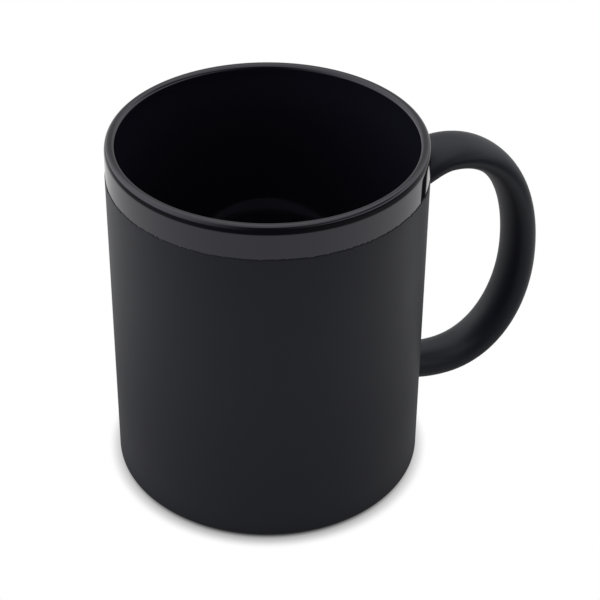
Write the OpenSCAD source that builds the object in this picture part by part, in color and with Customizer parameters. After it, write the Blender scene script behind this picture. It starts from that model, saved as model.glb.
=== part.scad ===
// Stoneware mug: glossy dark glaze inside and on the rim band, soft-touch coating outside.
// Millimetres, +Z up. The origin is the centre of the foot, on the cup's axis.
// The handle points along +X and stands in the plane Y = 0.

/* [Cup] */
// Outside diameter over the coating
cup_d = 81; // [70:0.5:95]
// Height from the foot to the top of the lip
cup_h = 95.5; // [80:0.5:120]
// Diameter of the glazed bore
bore_d = 73.8; // [62:0.1:86]
// Height of the glazed inside floor above the table
floor_z = 6.5; // [5:0.1:12]
// Radius of the rounding between the inside floor and the wall
floor_round = 9; // [4:0.5:16]
// Diameter of the highest line of the lip
crest_d = 77.6; // [70:0.1:90]
// Height over which the outside of the lip rounds off
lip_h = 2.9; // [1.5:0.1:5]
// How square the outside of the lip is: 2 is an ellipse, more is squarer
lip_square = 3.2; // [2:0.1:5]
// Height of the rounding on the inside of the lip
lip_in = 1.1; // [0.6:0.05:2]
// Width of the rounding on the inside of the lip
lip_in_w = 1.25; // [0.6:0.05:2]
// Depth below the lip's rounding over which the wall thickens to the bore
mouth_taper_h = 12.4; // [6:0.1:20]

/* [Foot] */
// Rounding of the clay under the wall
heel_round = 1.6; // [0.5:0.1:3]
// How far the foot ring stands below the clay's rounding
foot_h = 0.5; // [0.5:0.1:1.5]
// Outer diameter of the foot ring where it meets the table
foot_d = 75.4; // [60:0.1:76]
// Outer diameter of the recess inside the foot ring
recess_d = 66.8; // [50:0.1:70]
// Depth of the recess in the clay
recess_h = 2.55; // [1:0.05:4]
// Rounding at the top of the recess
recess_round = 1.6; // [0.8:0.1:2]

/* [Layers] */
// Thickness of the glaze
glaze_t = 0.35; // [0.2:0.05:0.6]
// Extra glaze that has run down to the bottom of the inside
glaze_pool = 0.05; // [0:0.01:0.2]
// Thickness of the soft-touch coating
coat_t = 0.15; // [0.1:0.05:0.3]
// Height of the coating's upper edge
coat_top = 86.7; // [70:0.1:92]

/* [Handle] */
// Height of the handle's centre line where it meets the wall at the top
up_z = 76.8; // [60:0.1:85]
// Slope of the upper arm at the wall
up_slope = 0.24; // [0:0.01:0.5]
// Crown of the centre line, distance from the axis
crown_x = 49.7; // [45:0.1:58]
// Crown of the centre line, height
crown_z = 80.3; // [70:0.1:88]
// Furthest point of the centre line, distance from the axis
reach_x = 74.4; // [60:0.1:90]
// Furthest point of the centre line, height
reach_z = 44.4; // [35:0.1:60]
// Lowest point of the centre line, distance from the axis
low_x = 51.5; // [45:0.1:60]
// Lowest point of the centre line, height
low_z = 13.5; // [10:0.1:30]
// Height of the handle's centre line where it meets the wall at the bottom
root_z = 15.3; // [10:0.1:30]
// Slope of the lower arm at the wall
root_slope = -0.16; // [-0.4:0.01:0.2]
// Full thickness of the handle at the top joint
thick_top = 7.6; // [6:0.1:11]
// Full thickness of the handle half way round
thick_mid = 8; // [6:0.1:11]
// Full thickness of the handle at the bottom joint
thick_low = 8.9; // [6:0.1:12]
// Full width of the handle at the top joint
wide_top = 15.8; // [10:0.1:20]
// Full width of the handle half way round
wide_mid = 13.8; // [10:0.1:20]
// Full width of the handle at the bottom joint
wide_low = 12.7; // [10:0.1:20]
// Radius of the smoothed slip where the handle meets the cup
weld_r = 2.2; // [1:0.1:4]
// Thickness of the slip layer between the handle and the cup
slip_t = 0.8; // [0.3:0.1:1.5]

/* [Hidden] */
// Every sub-part
// The sub-part to draw
// Fineness of the round surfaces
$fn = 128;
// Steps in each rounded corner of a turned outline
steps = 8;
// Sides of the handle's section
sides = 24;

// Layer offsets from the clay: clay, glaze, coating
skin_t = glaze_t + coat_t;
// Radius of the clay wall
wall_r = cup_d / 2 - skin_t;
// Radius of the lip's highest line
crest_r = crest_d / 2;
// Height where the outside of the lip begins to round
lip_z = cup_h - lip_h;
// Height of the centre of the lip's inner rounding
lip_in_z = cup_h - lip_in;
// Radius of the glazed bore
bore_r = bore_d / 2;
// Height where the bore begins to widen toward the lip
taper_z = lip_in_z - mouth_taper_h;
// How much the mouth is wider than the bore, in radius
taper_w = crest_r - lip_in_w - bore_r;
// Centre of the inside corner rounding
corner_r = bore_r - floor_round;
// Height of the centre of the inside corner rounding
corner_z = floor_z + floor_round;
// Centre radius of the recess rounding
recess_c = recess_d / 2 - 2.6;
// Centre height of the recess rounding
recess_cz = recess_h - recess_round;

// ---- outlines of the turned pieces, each point as [radius, height] ----

function arc(cr, cz, rr, rz, a0, a1) =
  [for (i = [0:steps]) [cr + rr * cos(a0 + (a1 - a0) * i / steps),
                        cz + rz * sin(a0 + (a1 - a0) * i / steps)]];

function smooth(u) = u <= 0 ? 0 : u >= 1 ? 1 : u * u * (3 - 2 * u);

// outside of the lip, from the wall to the crest, grown by g over the clay
function lip_outside(g) =
  [for (i = [0:2 * steps])
    [crest_r + (wall_r + g - crest_r) * pow(cos(45 * i / steps), 2 / lip_square),
     lip_z + (lip_h - glaze_t + g) * pow(sin(45 * i / steps), 2 / lip_square)]];

// inside of the lip, from the crest to the mouth
function lip_inside(g) =
  arc(crest_r, lip_in_z, lip_in_w - glaze_t + g, lip_in - glaze_t + g, 90, 180);

// the thickening wall under the lip, then the bore down to the corner
function mouth_wall(g) =
  [for (i = [1:10]) [bore_r + glaze_t - g + taper_w * smooth(1 - i / 10),
                     lip_in_z - mouth_taper_h * i / 10]];

// how far the surface g over the clay lies behind the glazed one at the bottom of the inside
function behind(g) = (glaze_t - g) * (1 + glaze_pool / glaze_t);

// the inside corner, ending on the axis
function inside_floor(g) =
  concat(arc(corner_r, corner_z, floor_round + behind(g), floor_round + behind(g), 0, -90),
         [[0, floor_z - behind(g)]]);

// everything from the wall over the lip to the middle of the floor
function over_lip(g) = concat(lip_outside(g), lip_inside(g), mouth_wall(g), inside_floor(g));

// the rounding under the wall, from angle a0 to a1
function heel(g, a0, a1) =
  arc(wall_r - heel_round, heel_round + foot_h, heel_round + g, heel_round + g, a0, a1);

// a path walked the other way
function back(p) = [for (i = [len(p) - 1:-1:0]) p[i]];

module cup_body() {
  color([0.82, 0.78, 0.71])
    rotate_extrude()
      polygon(concat([[foot_d / 2, 0],
                      [foot_d / 2 + 0.2, 0.12],
                      [foot_d / 2 + 0.3, foot_h]],
                     heel(0, -90, 0),
                     over_lip(0),
                     [[0, recess_h]],
                     arc(recess_c, recess_cz, recess_round, recess_round, 90, 0),
                     [[recess_c + recess_round + 0.55, 0.25],
                      [recess_c + recess_round + 0.95, 0]]));
}

module gloss_glaze() {
  color([0.03, 0.03, 0.04])
    difference() {
      rotate_extrude()
        polygon(concat(heel(glaze_t, -76, 0),
                       over_lip(glaze_t),
                       back(over_lip(0)),
                       heel(0, 0, -70)));
      handle_stub(0, true, upper_rings);
      handle_stub(0, true, lower_rings);
    }
}

module base_glaze() {
  color([0.04, 0.04, 0.05])
    rotate_extrude()
      polygon(concat([[0, recess_h - glaze_t]],
                     arc(recess_c, recess_cz, recess_round - glaze_t,
                         recess_round - glaze_t, 90, 14),
                     arc(recess_c, recess_cz, recess_round, recess_round, 10, 90),
                     [[0, recess_h]]));
}

module body_coating() {
  color([0.13, 0.13, 0.15])
    difference() {
      rotate_extrude()
        polygon(concat(heel(skin_t, -70, 0),
                       [[wall_r + skin_t, coat_top - 0.1],
                        [wall_r + skin_t - 0.1, coat_top],
                        [wall_r + glaze_t, coat_top]],
                       heel(glaze_t, 0, -71)));
      handle_stub(glaze_t, true, upper_rings);
      handle_stub(glaze_t, true, lower_rings);
    }
}

// ---- the handle: rings of points along a bent centre line ----

// tangent lengths of the two outer quarter bends
bend_k = [0.58, 0.61, 0.54, 0.64];
// distance from the axis where the centre line starts
start_x = 39;

// control points of the four stretches, each point as [x, z]
stretch = [
  [[start_x, up_z],
   [start_x, up_z] + 0.4 * (crown_x - start_x) * [1, up_slope],
   [crown_x - 0.4 * (crown_x - start_x), crown_z],
   [crown_x, crown_z]],
  [[crown_x, crown_z],
   [crown_x + bend_k[0] * (reach_x - crown_x), crown_z],
   [reach_x, reach_z + bend_k[1] * (crown_z - reach_z)],
   [reach_x, reach_z]],
  [[reach_x, reach_z],
   [reach_x, reach_z - bend_k[2] * (reach_z - low_z)],
   [low_x + bend_k[3] * (reach_x - low_x), low_z],
   [low_x, low_z]],
  [[low_x, low_z],
   [low_x - 0.4 * (low_x - start_x), low_z],
   [start_x, root_z] + 0.4 * (low_x - start_x) * [1, root_slope],
   [start_x, root_z]]
];

function on_bend(p, t) =
  pow(1 - t, 3) * p[0] + 3 * pow(1 - t, 2) * t * p[1] + 3 * (1 - t) * t * t * p[2]
  + pow(t, 3) * p[3];

function along_bend(p, t) =
  3 * pow(1 - t, 2) * (p[1] - p[0]) + 6 * (1 - t) * t * (p[2] - p[1])
  + 3 * t * t * (p[3] - p[2]);

// the share t of a root stretch at which it has covered the share u of its run in x
function share(u, t, n) =
  n == 0 ? t
         : share(u, t - (1.2 * t - 0.6 * t * t + 0.4 * t * t * t - u)
                        / (1.2 - 1.2 * t + 1.2 * t * t), n - 1);

// distances of the rings from the clay wall, close together in the smoothed joint
near = [-2, -0.06, 0.12, 0.24, 0.42, 0.62, 0.9, 1.2, 1.5, 1.73, 2.2, 2.8, 3.6, 4.6, 6, 7.8];
// rings inside the smoothed joint, up to where it has nearly faded
weld_rings = 10;

function up_share(d) =
  let (u = (wall_r + d - start_x) / (crown_x - start_x))
  share(u, u, 6);

function low_share(d) =
  let (u = (wall_r + d - start_x) / (low_x - start_x))
  1 - share(u, u, 6);

// every ring as [stretch, share]
stations = concat([for (d = near) [0, up_share(d)]],
                  [for (i = [0:7]) [1, i / 8]],
                  [for (i = [0:7]) [2, i / 8]],
                  [[3, 0]],
                  [for (i = [len(near) - 1:-1:0]) [3, low_share(near[i])]]);
// number of rings
ring_n = len(stations);
// rings of the upper smoothed joint
upper_rings = [for (i = [0:weld_rings - 1]) i];
// rings of the lower smoothed joint
lower_rings = [for (i = [ring_n - weld_rings:ring_n - 1]) i];

centres = [for (s = stations) on_bend(stretch[s[0]], s[1])];
tangents = [for (s = stations) along_bend(stretch[s[0]], s[1])];

// distance along the centre line at every ring
walked = [for (i = 0, s = 0; i < ring_n;
               s = i + 1 < ring_n ? s + norm(centres[i + 1] - centres[i]) : s, i = i + 1) s];

// full size at the share s of the way, through the three given sizes
function through(a, b, c, s) =
  a * (1 - s) * (1 - 2 * s) + 4 * b * s * (1 - s) + c * s * (2 * s - 1);

function thick(s) = s < 0.5 ? thick_top + (thick_mid - thick_top) * 2 * s
                            : thick_mid + (thick_low - thick_mid) * (2 * s - 1);

// offset of a skin g thick over the clay, at the distance d from the clay wall
function weld(d, g) =
  d >= weld_r ? g
  : d < g ? weld_r + 0.5 * g * min(1, (g - d) / 0.3)
  : weld_r - sqrt(max(0, pow(weld_r - g, 2) - pow(weld_r - d, 2)));

// one point of ring i: k counts round the section, g is the skin, welded adds the joint
function ring_point(i, k, g, welded) =
  let (c = centres[i],
       t = tangents[i],
       s = min(1, max(0, walked[i] / walked[ring_n - 1])),
       lower = stations[i][0] > 1,
       facing = lower ? -180 : 0,
       raw = atan2(t[1], t[0]),
       turn = lower && raw > 0 ? raw - 360 : raw,
       w = smooth((49 - c[0]) / 5.5),
       lean = turn + w * (facing - turn),
       n = [-sin(lean), cos(lean)],
       a = (thick(s) / 2 - skin_t) / cos(turn - lean),
       b = through(wide_top, wide_mid, wide_low, s) / 2 - skin_t,
       q = 360 * k / sides,
       y = b * sin(q),
       wrap = w * (sqrt(c[0] * c[0] - y * y) - c[0]),
       rise = w > 0 ? t[1] / t[0] : 0,
       p = [c[0] + a * cos(q) * n[0] + wrap, y, c[1] + a * cos(q) * n[1] + wrap * rise],
       m = [cos(q) / a * n[0], sin(q) / b, cos(q) / a * n[1]],
       d = norm([p[0], p[1]]) - wall_r)
  p + (welded ? weld(d, g) : g) * m / norm(m);

// the points of some rings, ring after ring
function tube_points(g, welded, rings) =
  [for (i = rings) for (k = [0:sides - 1]) ring_point(i, k, g, welded)];

// side faces between n rings whose points start at the index o
function tube_faces(n, o, out) =
  [for (i = [0:n - 2]) for (k = [0:sides - 1]) for (h = [0, 1])
    let (p = o + i * sides + k,
         q = o + i * sides + (k + 1) % sides)
    out ? (h == 0 ? [p, q, q + sides] : [p, q + sides, p + sides])
        : (h == 0 ? [p, q + sides, q] : [p, p + sides, q + sides])];

// a solid length of handle with a fan of faces closing each end
module handle_stub(g, welded, rings) {
  n = len(rings);
  first = centres[rings[0]];
  last = centres[rings[n - 1]];
  points = concat(tube_points(g, welded, rings),
                  [[first[0], 0, first[1]], [last[0], 0, last[1]]]);
  faces = concat(tube_faces(n, 0, true),
                 [for (k = [0:sides - 1]) [n * sides, (k + 1) % sides, k]],
                 [for (k = [0:sides - 1])
                   [n * sides + 1, (n - 1) * sides + k, (n - 1) * sides + (k + 1) % sides]]);
  polyhedron(points = points, faces = faces, convexity = 6);
}

// a skin round the whole handle, from the layer offset g0 to g1
module handle_skin(g0, g1) {
  rings = [for (i = [0:ring_n - 1]) i];
  half = ring_n * sides;
  end = (ring_n - 1) * sides;
  points = concat(tube_points(g1, true, rings), tube_points(g0, true, rings));
  faces = concat(tube_faces(ring_n, 0, true),
                 tube_faces(ring_n, half, false),
                 [for (k = [0:sides - 1]) for (h = [0, 1])
                   let (p = k, q = (k + 1) % sides)
                   h == 0 ? [p, half + p, half + q] : [p, half + q, q]],
                 [for (k = [0:sides - 1]) for (h = [0, 1])
                   let (p = end + k, q = end + (k + 1) % sides)
                   h == 0 ? [p, half + q, half + p] : [p, q, half + q]]);
  polyhedron(points = points, faces = faces, convexity = 8);
}

// a cylinder on the cup's axis that clears everything inside the radius r
module inside(r) {
  translate([0, 0, -5])
    cylinder(r = r, h = cup_h + 10);
}

module handle() {
  color([0.80, 0.76, 0.69])
    difference() {
      handle_stub(0, false, [for (i = [0:ring_n - 1]) i]);
      inside(wall_r + slip_t);
    }
}

module slip_joint(rings, through_rings) {
  color([0.76, 0.71, 0.63])
    difference() {
      handle_stub(0, true, rings);
      difference() {
        handle_stub(0, false, through_rings);
        inside(wall_r + slip_t);
      }
      inside(wall_r);
    }
}

module upper_handle_joint() {
  slip_joint(upper_rings, [for (i = [0:weld_rings + 1]) i]);
}

module lower_handle_joint() {
  slip_joint(lower_rings, [for (i = [ring_n - weld_rings - 2:ring_n - 1]) i]);
}

module handle_glaze() {
  color([0.04, 0.04, 0.05])
    difference() {
      handle_skin(0, glaze_t);
      inside(wall_r + glaze_t);
    }
}

module handle_coating() {
  color([0.14, 0.14, 0.16])
    difference() {
      handle_skin(glaze_t, skin_t);
      inside(wall_r + skin_t);
    }
}

cup_body();
handle();
upper_handle_joint();
lower_handle_joint();
gloss_glaze();
base_glaze();
handle_glaze();
body_coating();
handle_coating();
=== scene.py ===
"""A glazed stoneware mug with a soft-touch coating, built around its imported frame."""

import math

import bpy
from bpy.props import FloatProperty, FloatVectorProperty, IntProperty, PointerProperty
from mathutils import Matrix, Vector


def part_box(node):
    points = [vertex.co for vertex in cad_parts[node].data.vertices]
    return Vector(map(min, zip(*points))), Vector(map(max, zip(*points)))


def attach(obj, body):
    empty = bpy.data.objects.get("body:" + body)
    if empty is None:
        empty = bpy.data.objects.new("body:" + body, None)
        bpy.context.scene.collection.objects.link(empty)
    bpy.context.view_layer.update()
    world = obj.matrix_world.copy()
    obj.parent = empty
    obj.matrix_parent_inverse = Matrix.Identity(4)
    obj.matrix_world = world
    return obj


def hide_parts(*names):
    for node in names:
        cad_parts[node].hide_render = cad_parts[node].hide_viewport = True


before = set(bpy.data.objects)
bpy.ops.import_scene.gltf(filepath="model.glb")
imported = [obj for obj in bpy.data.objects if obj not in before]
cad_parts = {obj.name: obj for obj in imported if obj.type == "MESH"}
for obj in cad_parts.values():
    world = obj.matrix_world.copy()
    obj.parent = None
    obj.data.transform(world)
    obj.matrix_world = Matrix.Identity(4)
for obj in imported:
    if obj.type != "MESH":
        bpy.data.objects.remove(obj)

bl_info = {
    "name": "Glazed Mug",
    "version": (1, 0, 0),
    "blender": (4, 5, 0),
    "location": "3D View > Sidebar > Mug",
    "description": "Builds a glazed stoneware mug with a matte coating and its studio stage",
    "category": "Add Mesh",
}

MM = 0.001
CUP_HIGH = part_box("gloss_glaze")[1]
COAT_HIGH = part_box("body_coating")[1]
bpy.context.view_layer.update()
MERGE_DISTANCE = 0.002 * MM


# --- sizes and colours a user would change ---------------------------------

def length(name, text, default, low=0.0):
    """A length property, in metres."""
    return FloatProperty(name=name, description=text, default=default, min=low,
                         unit="LENGTH", subtype="DISTANCE", precision=5)


def colour(name, text, default):
    """A colour property, scene-linear."""
    return FloatVectorProperty(name=name, description=text, default=default, size=3,
                               min=0.0, max=1.0, subtype="COLOR")


def amount(name, text, default, low=0.0, high=1.0):
    """A plain number property."""
    return FloatProperty(name=name, description=text, default=default, min=low, max=high)


class MugCupSizes(bpy.types.PropertyGroup):
    """Sizes of the turned pieces."""
    radius: length("Outside radius", "Radius over the coating", COAT_HIGH[0])
    height: length("Height", "Foot to the top of the lip", CUP_HIGH[2])
    bore: length("Bore radius", "Radius of the glazed inside", 36.9 * MM)
    floor: length("Floor height", "Inside floor above the table", 6.5 * MM)
    corner: length("Corner rounding", "Rounding between the inside floor and the wall", 9 * MM)
    crest: length("Crest radius", "Radius of the lip's highest line", 38.8 * MM)
    lip_fall: length("Lip fall", "Height over which the lip rounds off outside", 2.9 * MM)
    lip_square: FloatProperty(name="Lip squareness", default=3.2, min=2.0, max=5.0,
                              description="2 is an ellipse, more is squarer")
    lip_in: length("Lip inside", "Height of the rounding inside the lip", 1.1 * MM)
    lip_in_wide: length("Lip inside width", "Width of the rounding inside the lip", 1.25 * MM)
    taper: length("Mouth taper", "Depth over which the wall thickens below the lip", 12.4 * MM)
    glaze: length("Glaze", "Thickness of the glaze", 0.35 * MM)
    coating: length("Coating", "Thickness of the coating", 0.15 * MM)
    coat_top: length("Coating edge", "Height of the coating's upper edge", COAT_HIGH[2])
    waver: length("Edge waver", "How far the coating's edge wanders up and down", 0.55 * MM)
    heel: length("Heel rounding", "Rounding of the clay under the wall", 1.6 * MM)
    foot: length("Foot height", "How far the foot ring stands below the rounding", 0.5 * MM)
    foot_radius: length("Foot radius", "Outer radius of the foot ring", 37.7 * MM)
    recess: length("Recess radius", "Outer radius of the recess in the foot", 33.4 * MM)
    recess_depth: length("Recess depth", "Depth of the recess in the clay", 2.55 * MM)
    segments: IntProperty(name="Segments", description="Steps round the turned pieces",
                          default=256, min=24, max=512)


class MugHandleSizes(bpy.types.PropertyGroup):
    """Sizes of the handle."""
    upper: length("Upper root", "Height of the centre line at the upper root", 76.8 * MM)
    upper_slope: amount("Upper slope", "Slope of the upper arm at the wall", 0.24, -1, 1)
    crown_x: length("Crown reach", "Crown of the centre line from the axis", 49.7 * MM)
    crown_z: length("Crown height", "Crown of the centre line above the table", 80.3 * MM)
    reach_x: length("Reach", "Furthest point of the centre line from the axis", 74.4 * MM)
    reach_z: length("Reach height", "Height of the furthest point", 44.4 * MM)
    low_x: length("Low reach", "Lowest point of the centre line from the axis", 51.5 * MM)
    low_z: length("Low height", "Lowest point of the centre line above the table", 13.5 * MM)
    lower: length("Lower root", "Height of the centre line at the lower root", 15.3 * MM)
    lower_slope: amount("Lower slope", "Slope of the lower arm at the wall", -0.16, -1, 1)
    thick_top: length("Top thickness", "Thickness at the upper root", 7.6 * MM)
    thick_mid: length("Middle thickness", "Thickness half way round", 8.0 * MM)
    thick_low: length("Low thickness", "Thickness at the lower root", 8.9 * MM)
    wide_top: length("Top width", "Width at the upper root", 15.8 * MM)
    wide_mid: length("Middle width", "Width half way round", 13.8 * MM)
    wide_low: length("Low width", "Width at the lower root", 12.7 * MM)
    weld: length("Root fillet", "Radius of the smoothed slip at the roots", 2.2 * MM)
    rings: IntProperty(name="Rings", description="Rings along the handle",
                       default=180, min=24, max=600)
    sides: IntProperty(name="Sides", description="Points round the handle's section",
                       default=64, min=12, max=128)


class MugFinishes(bpy.types.PropertyGroup):
    """Colours and gloss."""
    glaze: colour("Glaze", "Body colour of the glossy glaze", (0.0040, 0.0036, 0.0064))
    inside: colour("Inside", "Body colour of the glaze inside the cup", (0.0115, 0.0113, 0.0185))
    coating: colour("Coating", "Colour of the matte coating", (0.0105, 0.0110, 0.0190))
    clay: colour("Clay", "Colour of the bare fired clay", (0.60, 0.53, 0.43))
    coating_rough: amount("Coating roughness", "Roughness of the matte coating", 0.46)
    glaze_rough: amount("Glaze roughness", "Roughness of the glossy glaze", 0.035)


class MugStage(bpy.types.PropertyGroup):
    """Camera and studio."""
    distance: length("Camera distance", "Camera to the aim point", 482.5 * MM)
    turn: FloatProperty(name="Camera turn", description="Turn of the camera about the axis",
                        default=math.radians(-24.0), subtype="ANGLE", unit="ROTATION")
    tilt: FloatProperty(name="Camera tilt", description="How far the camera looks down",
                        default=0.6182, subtype="ANGLE", unit="ROTATION")
    roll: FloatProperty(name="Camera roll", description="Roll about the line of sight",
                        default=0.0116, subtype="ANGLE", unit="ROTATION")
    lens: FloatProperty(name="Lens", description="Focal length in millimetres",
                        default=110.93, min=10, max=400)
    aim_height: length("Aim height", "Height of the point the camera is set up on", 48 * MM)
    aim_right: length("Aim right", "How far the view slides to the right", 8.37 * MM)
    aim_down: length("Aim down", "How far the view slides down", 1.117 * MM)
    floor: amount("Floor white", "How pale the floor looks to the camera", 1.34, 0, 4)
    # the floor's contact shadow is painted: an ambient occlusion term darkens the floor's emitted
    # white
    shadow: length("Shadow reach", "How far the contact shadow reaches", 6.0 * MM)
    shadow_side: amount("Shadow side", "Share of the shadow left beside the mug", 0.75)
    paper: amount("Paper", "Brightness of the paper in front of the mug", 0.71, 0, 4)
    paper_side: amount("Paper side", "Brightness of the paper beside and behind it", 0.84, 0, 4)
    # painted shade: the paper close to the foot glows dimmer, standing for the mug's shadow on it
    paper_shaded_near: amount("Paper near", "Brightness of the paper close to the foot", 0.34, 0, 4)
    beyond: amount("Beyond the paper", "Brightness of the floor past the paper's end", 0.15, 0, 4)
    paper_end: length("Paper end", "Where the paper stops, except behind the mug", 0.205)
    back_low: amount("Back wall", "Brightness of the wall behind", 0.48, 0, 4)
    back_high: amount("Back box", "Brightness of the softbox high behind", 1.25, 0, 4)
    top: amount("Top box", "Brightness of the softbox overhead", 1.1, 0, 4)
    left: amount("Left box", "Brightness of the softbox on the left", 1.4, 0, 4)
    right: amount("Right box", "Brightness of the softbox on the right", 1.2, 0, 4)
    corners: amount("Corner lights", "Low lights behind, on both sides", 0.38, 0, 4)
    front: amount("Front", "Brightness of the dark room behind the camera", 0.04, 0, 4)


# --- node wiring ---------------------------------------------------------------

class Term:
    """A number inside a node tree, so that a rule can be written as a formula."""

    def __init__(self, wires, socket):
        self.wires, self.socket = wires, socket

    def _do(self, op, *others):
        return self.wires.math(op, self, *others)

    def __add__(self, o): return self._do("ADD", o)
    def __sub__(self, o): return self._do("SUBTRACT", o)
    def __mul__(self, o): return self._do("MULTIPLY", o)
    def __truediv__(self, o): return self._do("DIVIDE", o)
    def __rsub__(self, o): return self.wires.math("SUBTRACT", o, self)
    def __neg__(self): return self._do("MULTIPLY", -1.0)
    def least(self, o): return self._do("MINIMUM", o)
    def most(self, o): return self._do("MAXIMUM", o)
    def over(self, o): return self._do("GREATER_THAN", o)
    def under(self, o): return self._do("LESS_THAN", o)
    def root(self): return self.most(0.0)._do("SQRT")
    def sin(self): return self._do("SINE")
    def cos(self): return self._do("COSINE")
    def whole(self): return self._do("ROUND")
    def unit(self): return self.most(0.0).least(1.0)

    def eased(self):
        u = self.unit()
        return u * u * (3.0 - u * 2.0)

    def rise(self, start, over):
        """Climbs smoothly from nought at start to one at start + over."""
        return ((self - start) * (1 / over)).eased()

    __radd__ = __add__
    __rmul__ = __mul__


class Wires:
    """Adds nodes to a tree and joins them."""

    def __init__(self, tree):
        self.tree = tree

    def node(self, kind, feeds=None, **settings):
        n = self.tree.nodes.new(kind)
        for key, value in settings.items():
            setattr(n, key, value)
        for key, value in (feeds or {}).items():
            self.feed(n.inputs[key], value)
        return n

    def feed(self, socket, value):
        if isinstance(value, Term):
            value = value.socket
        if isinstance(value, bpy.types.NodeSocket):
            self.tree.links.new(value, socket)
        else:
            socket.default_value = value

    def term(self, socket):
        return Term(self, socket)

    def math(self, op, *values):
        n = self.tree.nodes.new("ShaderNodeMath")
        n.operation = op
        for socket, value in zip(n.inputs, values):
            self.feed(socket, value)
        return Term(self, n.outputs[0])

    def join(self, x, y, z):
        n = self.node("ShaderNodeCombineXYZ", {"X": x, "Y": y, "Z": z})
        return n.outputs[0]

    def split(self, vector):
        n = self.node("ShaderNodeSeparateXYZ", {0: vector})
        return [Term(self, s) for s in n.outputs]

    def tidy(self):
        """Lays the nodes out in columns, each one right of what feeds it."""
        column = {}
        def depth(n, seen=()):
            if n.name in column or n.name in seen:
                return column.get(n.name, 0)
            before = [l.from_node for s in n.inputs for l in s.links]
            column[n.name] = 1 + max([depth(b, seen + (n.name,)) for b in before], default=0)
            return column[n.name]
        rows = {}
        for n in self.tree.nodes:
            c = depth(n)
            rows[c] = rows.get(c, 0) + 1
            n.location = (c * 200, -rows[c] * 170)


def new_tree(name, kind, inputs, outputs):
    """A node group with named inputs; each input is (name, socket type, default)."""
    tree = bpy.data.node_groups.new(name, kind)
    for title, socket_type, default in inputs:
        s = tree.interface.new_socket(title, in_out="INPUT", socket_type=socket_type)
        if default is not None:
            s.default_value = default
    for title, socket_type in outputs:
        tree.interface.new_socket(title, in_out="OUTPUT", socket_type=socket_type)
    wires = Wires(tree)
    source = wires.node("NodeGroupInput")
    sink = wires.node("NodeGroupOutput")
    return wires, source, sink


def finish_shape(wires, sink, mesh, material, sharp=0.6):
    """Merges the doubles, smooths all but the sharp edges and sets the material."""
    merged = wires.node("GeometryNodeMergeByDistance",
                        {"Geometry": mesh, "Distance": MERGE_DISTANCE})
    angle = wires.term(wires.node("GeometryNodeInputMeshEdgeAngle").outputs[0])
    faces = wires.node("GeometryNodeSetShadeSmooth",
                       {"Geometry": merged.outputs[0], "Shade Smooth": True}, domain="FACE")
    edges = wires.node("GeometryNodeSetShadeSmooth",
                       {"Geometry": faces.outputs[0], "Shade Smooth": angle.under(sharp)},
                       domain="EDGE")
    real = wires.node("GeometryNodeRealizeInstances", {"Geometry": edges.outputs[0]})
    done = wires.node("GeometryNodeSetMaterial", {"Geometry": real.outputs[0],
                                                  "Material": material})
    wires.feed(sink.inputs[0], done.outputs[0])
    wires.tidy()


def turned_tree():
    """The rule for every turned piece: an outline carried once round the cup's axis."""
    wires, source, sink = new_tree("Turned piece", "GeometryNodeTree", [
        ("Outline", "NodeSocketObject", None),
        ("Outline Points", "NodeSocketInt", 2),
        ("Segments", "NodeSocketInt", 256),
        ("Edge Height", "NodeSocketFloat", 1.0),
        ("Edge Waver", "NodeSocketFloat", 0.0),
        ("Seed", "NodeSocketFloat", 3.0),
        ("Material", "NodeSocketMaterial", None),
    ], [("Mesh", "NodeSocketGeometry")])
    outline = wires.node("GeometryNodeObjectInfo", {"Object": source.outputs["Outline"]},
                         transform_space="ORIGINAL")
    count = wires.term(source.outputs["Outline Points"])
    grid = wires.node("GeometryNodeMeshGrid", {
        "Size X": 1.0, "Size Y": 1.0, "Vertices X": count,
        "Vertices Y": wires.term(source.outputs["Segments"]) + 1.0})
    across, around, _ = wires.split(wires.node("GeometryNodeInputPosition").outputs[0])
    index = ((across + 0.5) * (count - 1.0)).whole()
    place = wires.node("GeometryNodeInputPosition").outputs[0]
    picked = wires.node("GeometryNodeSampleIndex", data_type="FLOAT_VECTOR", domain="POINT")
    wires.feed(picked.inputs["Geometry"], outline.outputs["Geometry"])
    wires.feed(picked.inputs["Value"], place)
    wires.feed(picked.inputs["Index"], index)
    radius, _, height = wires.split(picked.outputs["Value"])
    angle = (around + 0.5) * (2 * math.pi)
    x, y = angle.cos(), angle.sin()
    # the edge wanders slowly, with small nicks cut down into it
    slow_waves, nick_waves, nick_floor = 5.0, 55.0, 0.52
    edge_band = 0.4 * MM
    seed = wires.term(source.outputs["Seed"])
    slow = wires.node("ShaderNodeTexNoise", {
        "Vector": wires.join(x * slow_waves, y * slow_waves, seed), "Scale": 1.0, "Detail": 1.0})
    nicks = wires.node("ShaderNodeTexNoise", {
        "Vector": wires.join(x * nick_waves, y * nick_waves, seed), "Scale": 1.0, "Detail": 3.0})
    nick = (wires.term(nicks.outputs["Fac"]) - nick_floor).most(0.0) * 5.0
    wander = (wires.term(slow.outputs["Fac"]) - 0.5) * 0.6 - nick
    above = height - wires.term(source.outputs["Edge Height"])
    near_edge = (above * (1 / edge_band) + 1.5).unit()
    lift = wander * wires.term(source.outputs["Edge Waver"]) * near_edge
    moved = wires.node("GeometryNodeSetPosition", {
        "Geometry": grid.outputs["Mesh"],
        "Position": wires.join(radius * x, radius * y, height + lift)})
    flipped = wires.node("GeometryNodeFlipFaces", {"Mesh": moved.outputs[0]})
    finish_shape(wires, sink, flipped.outputs[0], source.outputs["Material"])
    return wires.tree


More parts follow.
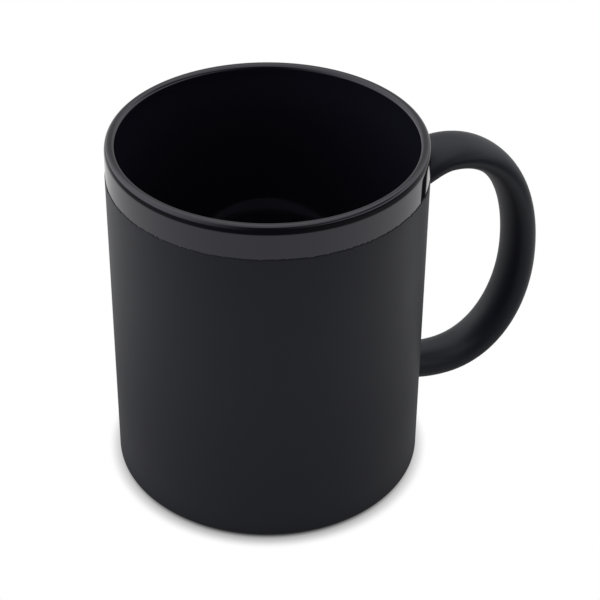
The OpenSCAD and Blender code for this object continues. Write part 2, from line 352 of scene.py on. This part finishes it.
def handle_tree():
    """The rule for the handle and its skins: a changing oval carried along the centre line,
    flaring into the cup's wall at both ends."""
    lengths = [("Layer", 0.0), ("Skin", 0.0005), ("Fillet", 0.0022), ("Wall Radius", 0.04),
               ("Top Thickness", 0.0076), ("Middle Thickness", 0.008), ("Low Thickness", 0.0089),
               ("Top Width", 0.0158), ("Middle Width", 0.0138), ("Low Width", 0.0127)]
    crowding = 0.143  # how much closer together the rings stand toward the roots
    upright_from, upright_over = 49 * MM, 5.5 * MM  # where the section turns upright
    wires, source, sink = new_tree("Handle along its centre line", "GeometryNodeTree", [
        ("Centre Line", "NodeSocketObject", None),
        ("Rings", "NodeSocketInt", 180),
        ("Sides", "NodeSocketInt", 64),
        ("From", "NodeSocketFloat", 0.0),
        ("To", "NodeSocketFloat", 1.0),
    ] + [(title, "NodeSocketFloat", value) for title, value in lengths] + [
        ("Material", "NodeSocketMaterial", None),
    ], [("Mesh", "NodeSocketGeometry")])
    value = {s.name: wires.term(s) for s in source.outputs if s.name}
    path = wires.node("GeometryNodeObjectInfo", {"Object": source.outputs["Centre Line"]},
                      transform_space="ORIGINAL")
    rows = value["Rings"] + 2.0
    grid = wires.node("GeometryNodeMeshGrid", {
        "Size X": 1.0, "Size Y": 1.0, "Vertices X": value["Sides"] + 1.0, "Vertices Y": rows})
    around, along, _ = wires.split(wires.node("GeometryNodeInputPosition").outputs[0])
    row = ((along + 0.5) * (rows - 1.0)).whole()
    # the first and last rows close the ends in a point
    open_row = row.over(0.5) * row.under(rows - 1.5)
    even = ((row - 1.0) / (rows - 3.0)).unit()
    # rings stand closer together toward both roots
    packed = even - (even * (2 * math.pi)).sin() * crowding
    share = value["From"] + (value["To"] - value["From"]) * packed
    sample = wires.node("GeometryNodeSampleCurve", mode="FACTOR", use_all_curves=True)
    wires.feed(sample.inputs["Curves"], path.outputs["Geometry"])
    wires.feed(sample.inputs["Factor"], share)
    cx, _, cz = wires.split(sample.outputs["Position"])
    tx, _, tz = wires.split(sample.outputs["Tangent"])

    def through(a, b, c):
        return (a * ((1.0 - share) * (1.0 - share * 2.0)) + b * (share * (1.0 - share) * 4.0)
                + c * (share * (share * 2.0 - 1.0)))

    first, second = (share * 2.0).unit(), (share * 2.0 - 1.0).unit()
    thick = (value["Top Thickness"] + (value["Middle Thickness"] - value["Top Thickness"]) * first
             + (value["Low Thickness"] - value["Middle Thickness"]) * second)
    wide = through(value["Top Width"], value["Middle Width"], value["Low Width"])
    # near the wall the section turns upright and wraps round the cup
    near_wall = ((upright_from - cx) * (1 / upright_over)).eased()
    lower = share.over(0.5)
    turn = wires.math("ARCTAN2", tz, tx)
    turn = turn - lower * turn.over(0.0) * (2 * math.pi)
    lean = turn + near_wall * (-lower * math.pi - turn)
    nx, nz = -lean.sin(), lean.cos()
    a = (thick * 0.5 - value["Skin"]) / (turn - lean).cos()
    b = wide * 0.5 - value["Skin"]
    spin = (around + 0.5) * (2 * math.pi)
    c, s = spin.cos(), spin.sin()
    y = b * s
    wrap = near_wall * ((cx * cx - y * y).root() - cx)
    # the wrap follows the arm's slope, which is only used near the wall
    slope = tz / (tx + (1.0 - near_wall.over(0.0)) * 10.0)
    px = cx + a * c * nx + wrap
    pz = cz + a * c * nz + wrap * slope
    mx, my, mz = c / a * nx, s / b, c / a * nz
    size = (mx * mx + my * my + mz * mz).root()
    clear = (px * px + y * y).root() - value["Wall Radius"]
    fillet, layer = value["Fillet"], value["Layer"]
    short = (fillet - clear).most(0.0)
    grow = fillet - ((fillet - layer) * (fillet - layer) - short * short).root()
    push = grow / size
    x = wires.math("MULTIPLY_ADD", px + mx * push - cx, open_row, cx)
    z = wires.math("MULTIPLY_ADD", pz + mz * push - cz, open_row, cz)
    moved = wires.node("GeometryNodeSetPosition", {
        "Geometry": grid.outputs["Mesh"],
        "Position": wires.join(x, (y + my * push) * open_row, z)})
    finish_shape(wires, sink, moved.outputs[0], source.outputs["Material"])
    return wires.tree


# --- outlines of the turned pieces, as (radius, height) -----------------------

def arc(cx, cz, rx, rz, a0, a1, steps=12):
    """Points on an arc of an ellipse, from angle a0 to a1 in degrees."""
    return [(cx + rx * math.cos(math.radians(a0 + (a1 - a0) * i / steps)),
             cz + rz * math.sin(math.radians(a0 + (a1 - a0) * i / steps)))
            for i in range(steps + 1)]


def line(p, q, steps):
    """Points after p up to q, evenly spaced."""
    return [(p[0] + (q[0] - p[0]) * i / steps, p[1] + (q[1] - p[1]) * i / steps)
            for i in range(1, steps + 1)]


def eased(u):
    """Nought to one with level ends."""
    return u * u * (3 - 2 * u)


class Outlines:
    """The cup's outline at each layer; g is how far the layer stands off the clay."""

    def __init__(self, cup):
        self.cup = cup
        self.wall = cup.radius - cup.glaze - cup.coating
        # the rounding in the corner of the recess under the foot, and its centre
        self.round = 1.6 * MM
        self.round_at = cup.recess - 2.6 * MM, cup.recess_depth - self.round

    def heel(self, g, a0, a1, steps=10):
        """The rounding under the wall, from angle a0 to a1."""
        c = self.cup
        return arc(self.wall - c.heel, c.heel + c.foot, c.heel + g, c.heel + g, a0, a1, steps)

    def over_lip(self, g):
        """From the outside wall over the lip and down to the middle of the inside floor."""
        c = self.cup
        lip_steps, taper_steps = 24, 16
        fall, edge, wide = (size - c.glaze + g for size in (c.lip_fall, c.lip_in, c.lip_in_wide))
        lip_in_z = c.height - c.lip_in
        points = []
        for i in range(lip_steps + 1):
            t = math.radians(90 * i / lip_steps)
            points.append((c.crest + (self.wall + g - c.crest) * math.cos(t) ** (2 / c.lip_square),
                           c.height - c.lip_fall + fall * math.sin(t) ** (2 / c.lip_square)))
        points[-1] = (c.crest, c.height - c.lip_fall + fall)
        points += arc(c.crest, lip_in_z, wide, edge, 90, 180, 14)[1:]
        widen = c.crest - c.lip_in_wide - c.bore
        depth, back = c.bore + c.glaze - g, c.glaze - g
        points += [(depth + widen * eased(1 - i / taper_steps),
                    lip_in_z - c.taper * i / taper_steps)
                   for i in range(1, taper_steps + 1)]
        corner_r, corner_z = c.bore - c.corner, c.floor + c.corner
        points += line(points[-1], (depth, corner_z), 8)
        points += arc(corner_r, corner_z, c.corner + back, c.corner + back, 0, -90, 20)[1:]
        points += line(points[-1], (0.0, c.floor - back), 8)
        return points

    def clay(self):
        c, r = self.cup, self.round
        cr, cz = self.round_at
        under = [(0.0, c.recess_depth)] + line((0.0, c.recess_depth), (cr, c.recess_depth), 4)
        under += arc(cr, cz, r, r, 90, 0, 10)[1:]
        under += [(cr + r + 0.5 * MM, 0.28 * MM), (cr + r + 0.7 * MM, 0.1 * MM),
                  (cr + r + 1.0 * MM, 0.0)]
        foot = line(under[-1], (c.foot_radius, 0.0), 4)
        foot += [(c.foot_radius + 0.12 * MM, 0.04 * MM), (c.foot_radius + 0.2 * MM, 0.12 * MM),
                 (c.foot_radius + 0.3 * MM, c.foot)]
        heel = self.heel(0, -90, 0)
        return heel + self.over_lip(0) + under + foot + [heel[0]]

    def gloss(self):
        heel = self.heel(self.cup.glaze, -76, 0, 14)
        return (heel + self.over_lip(self.cup.glaze) + self.over_lip(0)[::-1]
                + self.heel(0, 0, -70) + [heel[0]])

    def foot_glaze(self):
        c, r = self.cup, self.round
        cr, cz = self.round_at
        low = c.recess_depth - c.glaze
        return ([(0.0, low)] + line((0.0, low), (cr, low), 4)
                + arc(cr, cz, r - c.glaze, r - c.glaze, 90, 14, 10)[1:]
                + arc(cr, cz, r, r, 10, 90, 10)
                + line((cr, c.recess_depth), (0.0, c.recess_depth), 4))

    def coating(self):
        c = self.cup
        out, top = self.wall + c.glaze + c.coating, c.coat_top
        inner = self.wall + c.glaze
        outer = self.heel(c.glaze + c.coating, -70, 0, 14)
        outer += line(outer[-1], (out, top - 1.2 * MM), 24)
        outer += [(out, top - 0.35 * MM), (out, top - 0.16 * MM),
                  (out - 0.02 * MM, top - 0.08 * MM), (out - 0.06 * MM, top - 0.02 * MM),
                  (inner - 0.01 * MM, top)]
        inside = [(inner - 0.01 * MM, top - 1.2 * MM)] + self.heel(c.glaze, 0, -71)
        return outer + inside + [outer[0]]


# --- making and finishing pieces -------------------------------------------------

def helper_object(name, data):
    """A new object in the scene; grow_piece removes the ones that only feed a tree."""
    obj = bpy.data.objects.new(name, data)
    bpy.context.scene.collection.objects.link(obj)
    return obj


def grow_piece(name, tree, inputs, helper):
    """Runs a tree once and keeps its result as a plain mesh."""
    base = bpy.data.meshes.new(name + " base")
    obj = helper_object(name, base)
    modifier = obj.modifiers.new("Rule", "NODES")
    modifier.node_group = tree
    sockets = {s.name: s.identifier for s in tree.interface.items_tree
               if s.item_type == "SOCKET" and s.in_out == "INPUT"}
    for title, value in inputs.items():
        modifier[sockets[title]] = value
    bpy.context.view_layer.update()
    graph = bpy.context.evaluated_depsgraph_get()
    mesh = bpy.data.meshes.new_from_object(obj.evaluated_get(graph), depsgraph=graph)
    obj.modifiers.remove(modifier)
    obj.data = mesh
    mesh.name = name
    bpy.data.meshes.remove(base)
    data = helper.data
    bpy.data.objects.remove(helper)
    (bpy.data.curves if isinstance(data, bpy.types.Curve) else bpy.data.meshes).remove(data)
    if len(mesh.polygons) < 50:
        raise RuntimeError(name + " came out empty")
    return obj


def turned(name, points, material, segments, edge=1.0, waver=0.0):
    """A turned piece from its outline."""
    data = bpy.data.meshes.new(name + " outline")
    data.from_pydata([(r, 0.0, z) for r, z in points],
                     [(i, i + 1) for i in range(len(points) - 1)], [])
    helper = helper_object(name + " outline", data)
    tree = bpy.data.node_groups.get("Turned piece") or turned_tree()
    return grow_piece(name, tree, {
        "Outline": helper, "Outline Points": len(points), "Segments": segments,
        "Edge Height": edge, "Edge Waver": waver, "Seed": 3.0, "Material": material}, helper)


def centre_line(sizes):
    """The handle's centre line as a curve with its own tangent handles."""
    start = 39 * MM
    bend = (0.58, 0.61, 0.54, 0.64)  # tangent lengths, as shares of each span
    root_share = 0.4
    up_run, low_run = (root_share * (far - start) for far in (sizes.crown_x, sizes.low_x))
    out_run, in_run = sizes.reach_x - sizes.crown_x, sizes.reach_x - sizes.low_x
    fall, drop = sizes.crown_z - sizes.reach_z, sizes.reach_z - sizes.low_z
    knots = [
        ((start, sizes.upper), (-up_run, -up_run * sizes.upper_slope),
         (up_run, up_run * sizes.upper_slope)),
        ((sizes.crown_x, sizes.crown_z), (-up_run, 0), (bend[0] * out_run, 0)),
        ((sizes.reach_x, sizes.reach_z), (0, bend[1] * fall), (0, -bend[2] * drop)),
        ((sizes.low_x, sizes.low_z), (bend[3] * in_run, 0), (-low_run, 0)),
        ((start, sizes.lower), (low_run, low_run * sizes.lower_slope),
         (-low_run, -low_run * sizes.lower_slope)),
    ]
    data = bpy.data.curves.new("Centre line", "CURVE")
    data.dimensions = "3D"
    data.resolution_u = 64
    spline = data.splines.new("BEZIER")
    spline.bezier_points.add(len(knots) - 1)
    for point, (at, before, after) in zip(spline.bezier_points, knots):
        point.handle_left_type = point.handle_right_type = "FREE"
        point.co = (at[0], 0, at[1])
        point.handle_left = (at[0] + before[0], 0, at[1] + before[1])
        point.handle_right = (at[0] + after[0], 0, at[1] + after[1])
    return data


def handle_piece(name, scene, material, layer, fillet, first=0.0, last=1.0, rings=None):
    """The handle, one of its skins, or a short length of it.

    first and last are shares of the centre line's length.
    """
    cup, sizes = scene.mug_cup, scene.mug_handle
    helper = helper_object(name + " line", centre_line(sizes))
    tree = (bpy.data.node_groups.get("Handle along its centre line") or handle_tree())
    return grow_piece(name, tree, {
        "Centre Line": helper, "Rings": rings or sizes.rings, "Sides": sizes.sides,
        "From": first, "To": last, "Layer": layer, "Skin": cup.glaze + cup.coating,
        "Fillet": fillet, "Wall Radius": cup.radius - cup.glaze - cup.coating,
        "Top Thickness": sizes.thick_top, "Middle Thickness": sizes.thick_mid,
        "Low Thickness": sizes.thick_low, "Top Width": sizes.wide_top,
        "Middle Width": sizes.wide_mid, "Low Width": sizes.wide_low,
        "Material": material}, helper)


def seat(piece, slot, *nodes):
    """Joins a finished piece to the frame."""
    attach(piece, "root")
    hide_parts(*nodes)


# --- finishes ----------------------------------------------------------------------

def grain_group():
    """Fine surface grain: a normal and a slightly uneven roughness."""
    old = bpy.data.node_groups.get("Surface grain")
    if old:
        return old
    wires, source, sink = new_tree("Surface grain", "ShaderNodeTree", [
        ("Grain Scale", "NodeSocketFloat", 900.0),
        ("Ripple Scale", "NodeSocketFloat", 60.0),
        ("Grain Height", "NodeSocketFloat", 0.05),
        ("Ripple Height", "NodeSocketFloat", 0.05),
        ("Roughness", "NodeSocketFloat", 0.4),
        ("Roughness Spread", "NodeSocketFloat", 0.05),
    ], [("Normal", "NodeSocketVector"), ("Roughness", "NodeSocketFloat")])
    place = wires.node("ShaderNodeTexCoord").outputs["Object"]
    value = {s.name: s for s in source.outputs if s.name}
    fine = wires.node("ShaderNodeTexNoise", {
        "Vector": place, "Scale": value["Grain Scale"], "Detail": 3.0})
    broad = wires.node("ShaderNodeTexNoise", {
        "Vector": place, "Scale": value["Ripple Scale"], "Detail": 1.0})
    height = (wires.term(fine.outputs["Fac"]) * wires.term(value["Grain Height"])
              + wires.term(broad.outputs["Fac"]) * wires.term(value["Ripple Height"]))
    bump = wires.node("ShaderNodeBump", {"Height": height, "Strength": 1.0, "Distance": 0.001})
    rough = (wires.term(value["Roughness"])
             + (wires.term(broad.outputs["Fac"]) - 0.5) * wires.term(value["Roughness Spread"]))
    wires.feed(sink.inputs["Normal"], bump.outputs[0])
    wires.feed(sink.inputs["Roughness"], rough.unit())
    wires.tidy()
    return wires.tree


def specks_group():
    """Scattered specks of dust or iron in the clay, as a mask and a tinted colour."""
    old = bpy.data.node_groups.get("Specks")
    if old:
        return old
    wires, source, sink = new_tree("Specks", "ShaderNodeTree", [
        ("Ground", "NodeSocketColor", (0.5, 0.5, 0.5, 1.0)),
        ("Speck", "NodeSocketColor", (0.5, 0.5, 0.5, 1.0)),
        ("Scale", "NodeSocketFloat", 300.0),
        ("Share", "NodeSocketFloat", 0.02),
        ("Size", "NodeSocketFloat", 0.2),
        ("Strength", "NodeSocketFloat", 0.5),
    ], [("Color", "NodeSocketColor"), ("Mask", "NodeSocketFloat")])
    value = {s.name: s for s in source.outputs if s.name}
    place = wires.node("ShaderNodeTexCoord").outputs["Object"]
    cells = wires.node("ShaderNodeTexVoronoi", {
        "Vector": place, "Scale": value["Scale"], "Randomness": 1.0})
    chosen = wires.split(cells.outputs["Color"])[0].under(wires.term(value["Share"]))
    spot = 1.0 - (wires.term(cells.outputs["Distance"])
                  / wires.term(value["Size"])).unit()
    mask = ((spot * 3.0).unit() * chosen * wires.term(value["Strength"]))
    mix = wires.node("ShaderNodeMix", data_type="RGBA")
    wires.feed(mix.inputs[0], mask)
    wires.feed(mix.inputs[6], value["Ground"])
    wires.feed(mix.inputs[7], value["Speck"])
    wires.feed(sink.inputs["Color"], mix.outputs[2])
    wires.feed(sink.inputs["Mask"], mask)
    wires.tidy()
    return wires.tree


def inside_group():
    """A second, paler tone within a radius of the cup's axis."""
    old = bpy.data.node_groups.get("Inside tone")
    if old:
        return old
    wires, source, sink = new_tree("Inside tone", "ShaderNodeTree", [
        ("Outside", "NodeSocketColor", (0.5, 0.5, 0.5, 1.0)),
        ("Inside", "NodeSocketColor", (0.5, 0.5, 0.5, 1.0)),
        ("Radius", "NodeSocketFloat", 0.037),
        ("Softness", "NodeSocketFloat", 0.0003),
    ], [("Color", "NodeSocketColor")])
    value = {s.name: s for s in source.outputs if s.name}
    x, y, _ = wires.split(wires.node("ShaderNodeTexCoord").outputs["Object"])
    short = wires.term(value["Radius"]) - (x * x + y * y).root()
    mix = wires.node("ShaderNodeMix", data_type="RGBA")
    wires.feed(mix.inputs[0], (short / wires.term(value["Softness"])).eased())
    wires.feed(mix.inputs[6], value["Outside"])
    wires.feed(mix.inputs[7], value["Inside"])
    wires.feed(sink.inputs["Color"], mix.outputs[2])
    wires.tidy()
    return wires.tree


def finish(name, tone, grain, specks, sockets=None, inside=None):
    """A finish: grain and specks feeding one shader whose even values sit on its own sockets."""
    old = bpy.data.materials.get(name)
    if old:
        return old
    material = bpy.data.materials.new(name)
    material.use_nodes = True
    material.diffuse_color = (*tone, 1.0)
    tree = material.node_tree
    tree.nodes.clear()
    wires = Wires(tree)
    skin = wires.node("ShaderNodeGroup", node_tree=grain_group())
    dots = wires.node("ShaderNodeGroup", node_tree=specks_group())
    for node, values in ((skin, grain), (dots, specks)):
        for key, value in values.items():
            node.inputs[key].default_value = value
    dots.inputs["Ground"].default_value = (*tone, 1.0)
    if inside:
        tones = wires.node("ShaderNodeGroup", node_tree=inside_group())
        tones.inputs["Outside"].default_value = (*tone, 1.0)
        for key, value in inside.items():
            tones.inputs[key].default_value = value
        wires.feed(dots.inputs["Ground"], tones.outputs[0])
    shader = wires.node("ShaderNodeBsdfPrincipled", {
        "Base Color": dots.outputs["Color"], "Roughness": skin.outputs["Roughness"],
        "Normal": skin.outputs["Normal"]})
    for key, value in (sockets or {}).items():
        shader.inputs[key].default_value = value
    out = wires.node("ShaderNodeOutputMaterial")
    tree.links.new(shader.outputs[0], out.inputs["Surface"])
    wires.tidy()
    return material


def glaze_finish(scene):
    """Glossy near-black glaze, faintly rippled."""
    f = scene.mug_finishes
    return finish("Gloss glaze", tuple(f.glaze), {
        "Grain Scale": 500.0, "Ripple Scale": 45.0, "Grain Height": 0.002,
        "Ripple Height": 0.02, "Roughness": f.glaze_rough, "Roughness Spread": 0.01,
    }, {"Speck": (0.16, 0.16, 0.17, 1.0), "Scale": 170.0, "Share": 0.006, "Size": 0.06,
        "Strength": 0.6}, {"IOR": 1.60, "Specular Tint": (0.90, 0.88, 1.0, 1.0)},
        {"Inside": (*f.inside, 1.0), "Radius": scene.mug_cup.bore + 0.8 * MM,
         "Softness": 0.2 * MM})


def coating_finish(scene):
    """Soft-touch matte coating, very dark grey."""
    f = scene.mug_finishes
    return finish("Soft-touch coating", tuple(f.coating), {
        "Grain Scale": 1500.0, "Ripple Scale": 90.0, "Grain Height": 0.012,
        "Ripple Height": 0.015, "Roughness": f.coating_rough, "Roughness Spread": 0.04,
    }, {"Speck": (0.12, 0.12, 0.13, 1.0), "Scale": 260.0, "Share": 0.004, "Size": 0.07,
        "Strength": 0.5}, {"IOR": 1.42, "Specular Tint": (0.93, 0.95, 1.0, 1.0)})


def clay_finish(scene):
    """Bare fired clay with iron specks."""
    f = scene.mug_finishes
    return finish("Fired clay", tuple(f.clay), {
        "Grain Scale": 1200.0, "Ripple Scale": 200.0, "Grain Height": 0.12,
        "Ripple Height": 0.08, "Roughness": 0.86, "Roughness Spread": 0.08,
    }, {"Speck": (0.20, 0.12, 0.07, 1.0), "Scale": 700.0, "Share": 0.10, "Size": 0.32,
        "Strength": 0.7})


# --- operators -------------------------------------------------------------------------

class MUG_OT_clay_cup(bpy.types.Operator):
    """Turn the clay cup with its foot ring"""
    bl_idname = "mug.clay_cup"
    bl_label = "Clay cup"

    def execute(self, context):
        scene = context.scene
        piece = turned("clay_cup", Outlines(scene.mug_cup).clay(), clay_finish(scene),
                       scene.mug_cup.segments)
        seat(piece, "clay", "cup_body")
        return {"FINISHED"}


class MUG_OT_gloss_glaze(bpy.types.Operator):
    """Lay the glossy glaze over the inside, the lip and the wall"""
    bl_idname = "mug.gloss_glaze"
    bl_label = "Gloss glaze"

    def execute(self, context):
        scene = context.scene
        piece = turned("gloss_glaze_skin", Outlines(scene.mug_cup).gloss(), glaze_finish(scene),
                       scene.mug_cup.segments)
        seat(piece, "gloss_glaze", "gloss_glaze")
        return {"FINISHED"}


class MUG_OT_foot_glaze(bpy.types.Operator):
    """Lay the glaze in the recess of the foot"""
    bl_idname = "mug.foot_glaze"
    bl_label = "Foot glaze"

    def execute(self, context):
        scene = context.scene
        piece = turned("foot_glaze_skin", Outlines(scene.mug_cup).foot_glaze(),
                       glaze_finish(scene), scene.mug_cup.segments)
        seat(piece, "base_glaze", "base_glaze")
        return {"FINISHED"}


class MUG_OT_body_coating(bpy.types.Operator):
    """Spray the matte coating on the wall, up to its edge below the lip"""
    bl_idname = "mug.body_coating"
    bl_label = "Wall coating"

    def execute(self, context):
        scene = context.scene
        cup = scene.mug_cup
        piece = turned("wall_coating_skin", Outlines(cup).coating(), coating_finish(scene),
                       cup.segments * 3, cup.coat_top, cup.waver)
        seat(piece, "body_coating", "body_coating")
        return {"FINISHED"}


class MUG_OT_handle(bpy.types.Operator):
    """Pull the clay handle and join it to the wall with slip"""
    bl_idname = "mug.handle"
    bl_label = "Clay handle and joints"

    def execute(self, context):
        scene = context.scene
        clay, weld = clay_finish(scene), scene.mug_handle.weld
        core = handle_piece("clay_handle", scene, clay, 0.0, 0.0001, 0.006, 0.994)
        seat(core, "clay", "handle")
        upper = handle_piece("upper_slip_joint", scene, clay, 0.0, weld, 0.002, 0.023, 40)
        seat(upper, "slip", "upper_handle_joint")
        lower = handle_piece("lower_slip_joint", scene, clay, 0.0, weld, 0.977, 0.998, 40)
        seat(lower, "slip", "lower_handle_joint")
        return {"FINISHED"}


class MUG_OT_handle_skins(bpy.types.Operator):
    """Glaze the handle and coat it"""
    bl_idname = "mug.handle_skins"
    bl_label = "Handle glaze and coating"

    def execute(self, context):
        scene = context.scene
        cup, weld = scene.mug_cup, scene.mug_handle.weld
        glaze = handle_piece("handle_glaze_skin", scene, glaze_finish(scene), cup.glaze, weld,
                             0.004, 0.996)
        seat(glaze, "handle_glaze", "handle_glaze")
        coat = handle_piece("handle_coating_skin", scene, coating_finish(scene),
                            cup.glaze + cup.coating, weld, 0.006, 0.994)
        seat(coat, "handle_coating", "handle_coating")
        return {"FINISHED"}


class MUG_OT_stage(bpy.types.Operator):
    """Set the floor, the soft light and the camera"""
    bl_idname = "mug.stage"
    bl_label = "Studio stage"

    def execute(self, context):
        scene = context.scene
        stage = scene.mug_stage
        self.floor(scene, stage)
        self.sky(scene, stage)
        self.camera(scene, stage)
        scene.view_settings.view_transform = "Standard"
        scene.view_settings.look = "None"
        return {"FINISHED"}

    def sides(self, wires, x, y, stage):
        """How far a direction points behind, left, right and in front; they add up to one."""
        turn = stage.turn
        right = x * math.cos(turn) + y * math.sin(turn)
        away = x * -math.sin(turn) + y * math.cos(turn)
        size = right * right + away * away + 1e-9
        return [part * part / size for part in
                (away.most(0.0), (-right).most(0.0), right.most(0.0), (-away).most(0.0))]

    def floor(self, scene, stage):
        """A white floor for the camera with a painted contact shadow; for other rays it glows with
        painted light and shade, lighting the mug as a sheet of paper would.
        """
        data = bpy.data.meshes.new("Floor")
        s = 4.0  # half its width
        near_from, near_over = 60 * MM, 100 * MM
        end_early, end_over = 15 * MM, 30 * MM
        shadow_power = 1.8
        data.from_pydata([(-s, -s, 0), (s, -s, 0), (s, s, 0), (-s, s, 0)], [], [(0, 1, 2, 3)])
        floor = helper_object("Floor", data)
        material = bpy.data.materials.new("Pale floor")
        material.use_nodes = True
        tree = material.node_tree
        tree.nodes.clear()
        wires = Wires(tree)
        seen = wires.term(wires.node("ShaderNodeLightPath").outputs["Is Camera Ray"])
        # painted contact shadow: ambient occlusion, used to darken the floor's emitted colour
        # close to the mug
        contact = wires.term(wires.node("ShaderNodeAmbientOcclusion", {"Distance": stage.shadow},
                                        samples=16).outputs["AO"])
        # painted light: the floor glows like lit paper and lights the mug from below; the camera
        # doesn't see this glow
        x, y, _ = wires.split(wires.node("ShaderNodeTexCoord").outputs["Object"])
        behind, left, right, front = self.sides(wires, x, y, stage)
        # the painted contact shadow the camera sees is fainter beside the mug than in front
        painted_contact_shadow = 1.0 - (1.0 - contact) * (front * (1.0 - stage.shadow_side) + stage.shadow_side)
        white = (wires.math("POWER", painted_contact_shadow, shadow_power) * stage.floor).least(1.0)
        out = (x * x + y * y).root()
        near = out.rise(near_from, near_over)
        past_end = out.rise(stage.paper_end - end_early, end_over)
        open_paper = front * (stage.paper - stage.paper_side) + stage.paper_side
        # painted shade: close to the foot the paper's glow drops, standing for the mug's shadow on
        # it
        glow = near * (open_paper - stage.paper_shaded_near) + stage.paper_shaded_near
        outer = glow * behind + (left + right) * stage.beyond + front * stage.front
        glow = glow + past_end * (outer - glow)
        # painted shade: the paper's glow is also darkened near the mug by the contact occlusion
        glow = glow * contact
        shown = glow + seen * (white - glow)
        lit = wires.node("ShaderNodeEmission", {"Color": wires.join(shown, shown, shown)})
        wires.node("ShaderNodeOutputMaterial", {"Surface": lit.outputs[0]})
        data.materials.append(material)

    def sky(self, scene, stage):
        """The light round the mug, which the camera sees as plain white."""
        world = bpy.data.worlds.new("Studio")
        scene.world = world
        world.use_nodes = True
        tree = world.node_tree
        tree.nodes.clear()
        wires = Wires(tree)
        x, y, z = wires.split(wires.node("ShaderNodeTexCoord").outputs["Generated"])
        back, left, right, front = self.sides(wires, x, y, stage)
        # three steps up from the horizon to overhead
        over_low, over_mid, overhead = (
            z.rise(start, over) for start, over in ((0.12, 0.25), (0.48, 0.22), (0.75, 0.15)))
        # where two sides meet, the product of their weights is at most a quarter
        between = 4
        light = (back * (over_mid * (stage.back_high - stage.back_low) + stage.back_low)
                 + left * stage.left
                 + right * (over_low - over_mid) * stage.right
                 + back * (left + right) * (1.0 - over_mid) * (between * stage.corners)
                 + front * stage.front)
        light = light + overhead * (stage.top - light)
        seen = wires.term(wires.node("ShaderNodeLightPath").outputs["Is Camera Ray"])
        shown = light + seen * (1.0 - light)
        back_drop = wires.node("ShaderNodeBackground", {
            "Color": wires.join(shown, shown, shown), "Strength": 1.0})
        wires.node("ShaderNodeOutputWorld", {"Surface": back_drop.outputs[0]})

    def camera(self, scene, stage):
        """The camera, looking down on the mug from in front."""
        tilt, roll = stage.tilt, stage.roll
        ahead = Vector((0, math.cos(tilt), -math.sin(tilt)))
        up = Vector((0, math.sin(tilt), math.cos(tilt)))
        side = Vector((1, 0, 0))
        right = side * math.cos(roll) + up * math.sin(roll)
        above = up * math.cos(roll) - side * math.sin(roll)
        aim = Vector((0, 0, stage.aim_height)) + right * stage.aim_right - above * stage.aim_down
        place = aim - ahead * stage.distance
        spin = Matrix.Rotation(stage.turn, 4, "Z")
        pose = Matrix((right, above, -ahead)).transposed().to_4x4()
        pose.translation = place
        data = bpy.data.cameras.new("Camera")
        data.sensor_width = 36.0
        data.lens = stage.lens
        data.clip_start, data.clip_end = 0.01, 50.0
        camera = helper_object("Camera", data)
        camera.matrix_world = spin @ pose
        scene.camera = camera


class MUG_PT_panel(bpy.types.Panel):
    """The mug's sizes, finishes and pieces"""
    bl_idname = "MUG_PT_panel"
    bl_label = "Glazed Mug"
    bl_space_type = "VIEW_3D"
    bl_region_type = "UI"
    bl_category = "Mug"

    def draw(self, context):
        layout = self.layout
        for title, group in (("Cup", context.scene.mug_cup), ("Handle", context.scene.mug_handle),
                             ("Finishes", context.scene.mug_finishes),
                             ("Stage", context.scene.mug_stage)):
            box = layout.box()
            box.label(text=title)
            for key in group.bl_rna.properties.keys():
                if key not in ("rna_type", "name"):
                    box.prop(group, key)
        column = layout.column(align=True)
        for name in STEPS:
            column.operator("mug." + name)


STEPS = ("clay_cup", "gloss_glaze", "foot_glaze", "body_coating", "handle", "handle_skins",
         "stage")
GROUPS = {"mug_cup": MugCupSizes, "mug_handle": MugHandleSizes, "mug_finishes": MugFinishes,
          "mug_stage": MugStage}
CLASSES = (*GROUPS.values(), MUG_OT_clay_cup, MUG_OT_gloss_glaze, MUG_OT_foot_glaze,
           MUG_OT_body_coating, MUG_OT_handle, MUG_OT_handle_skins, MUG_OT_stage, MUG_PT_panel)


def register():
    """Adds the classes and the scene's settings."""
    for cls in CLASSES:
        bpy.utils.register_class(cls)
    for key, cls in GROUPS.items():
        setattr(bpy.types.Scene, key, PointerProperty(type=cls))


def unregister():
    """Takes them away again."""
    for key in GROUPS:
        delattr(bpy.types.Scene, key)
    for cls in reversed(CLASSES):
        bpy.utils.unregister_class(cls)


def main():
    """Builds every piece."""
    register()
    for name in STEPS:
        getattr(bpy.ops.mug, name)()


if __name__ == "__main__":
    main()
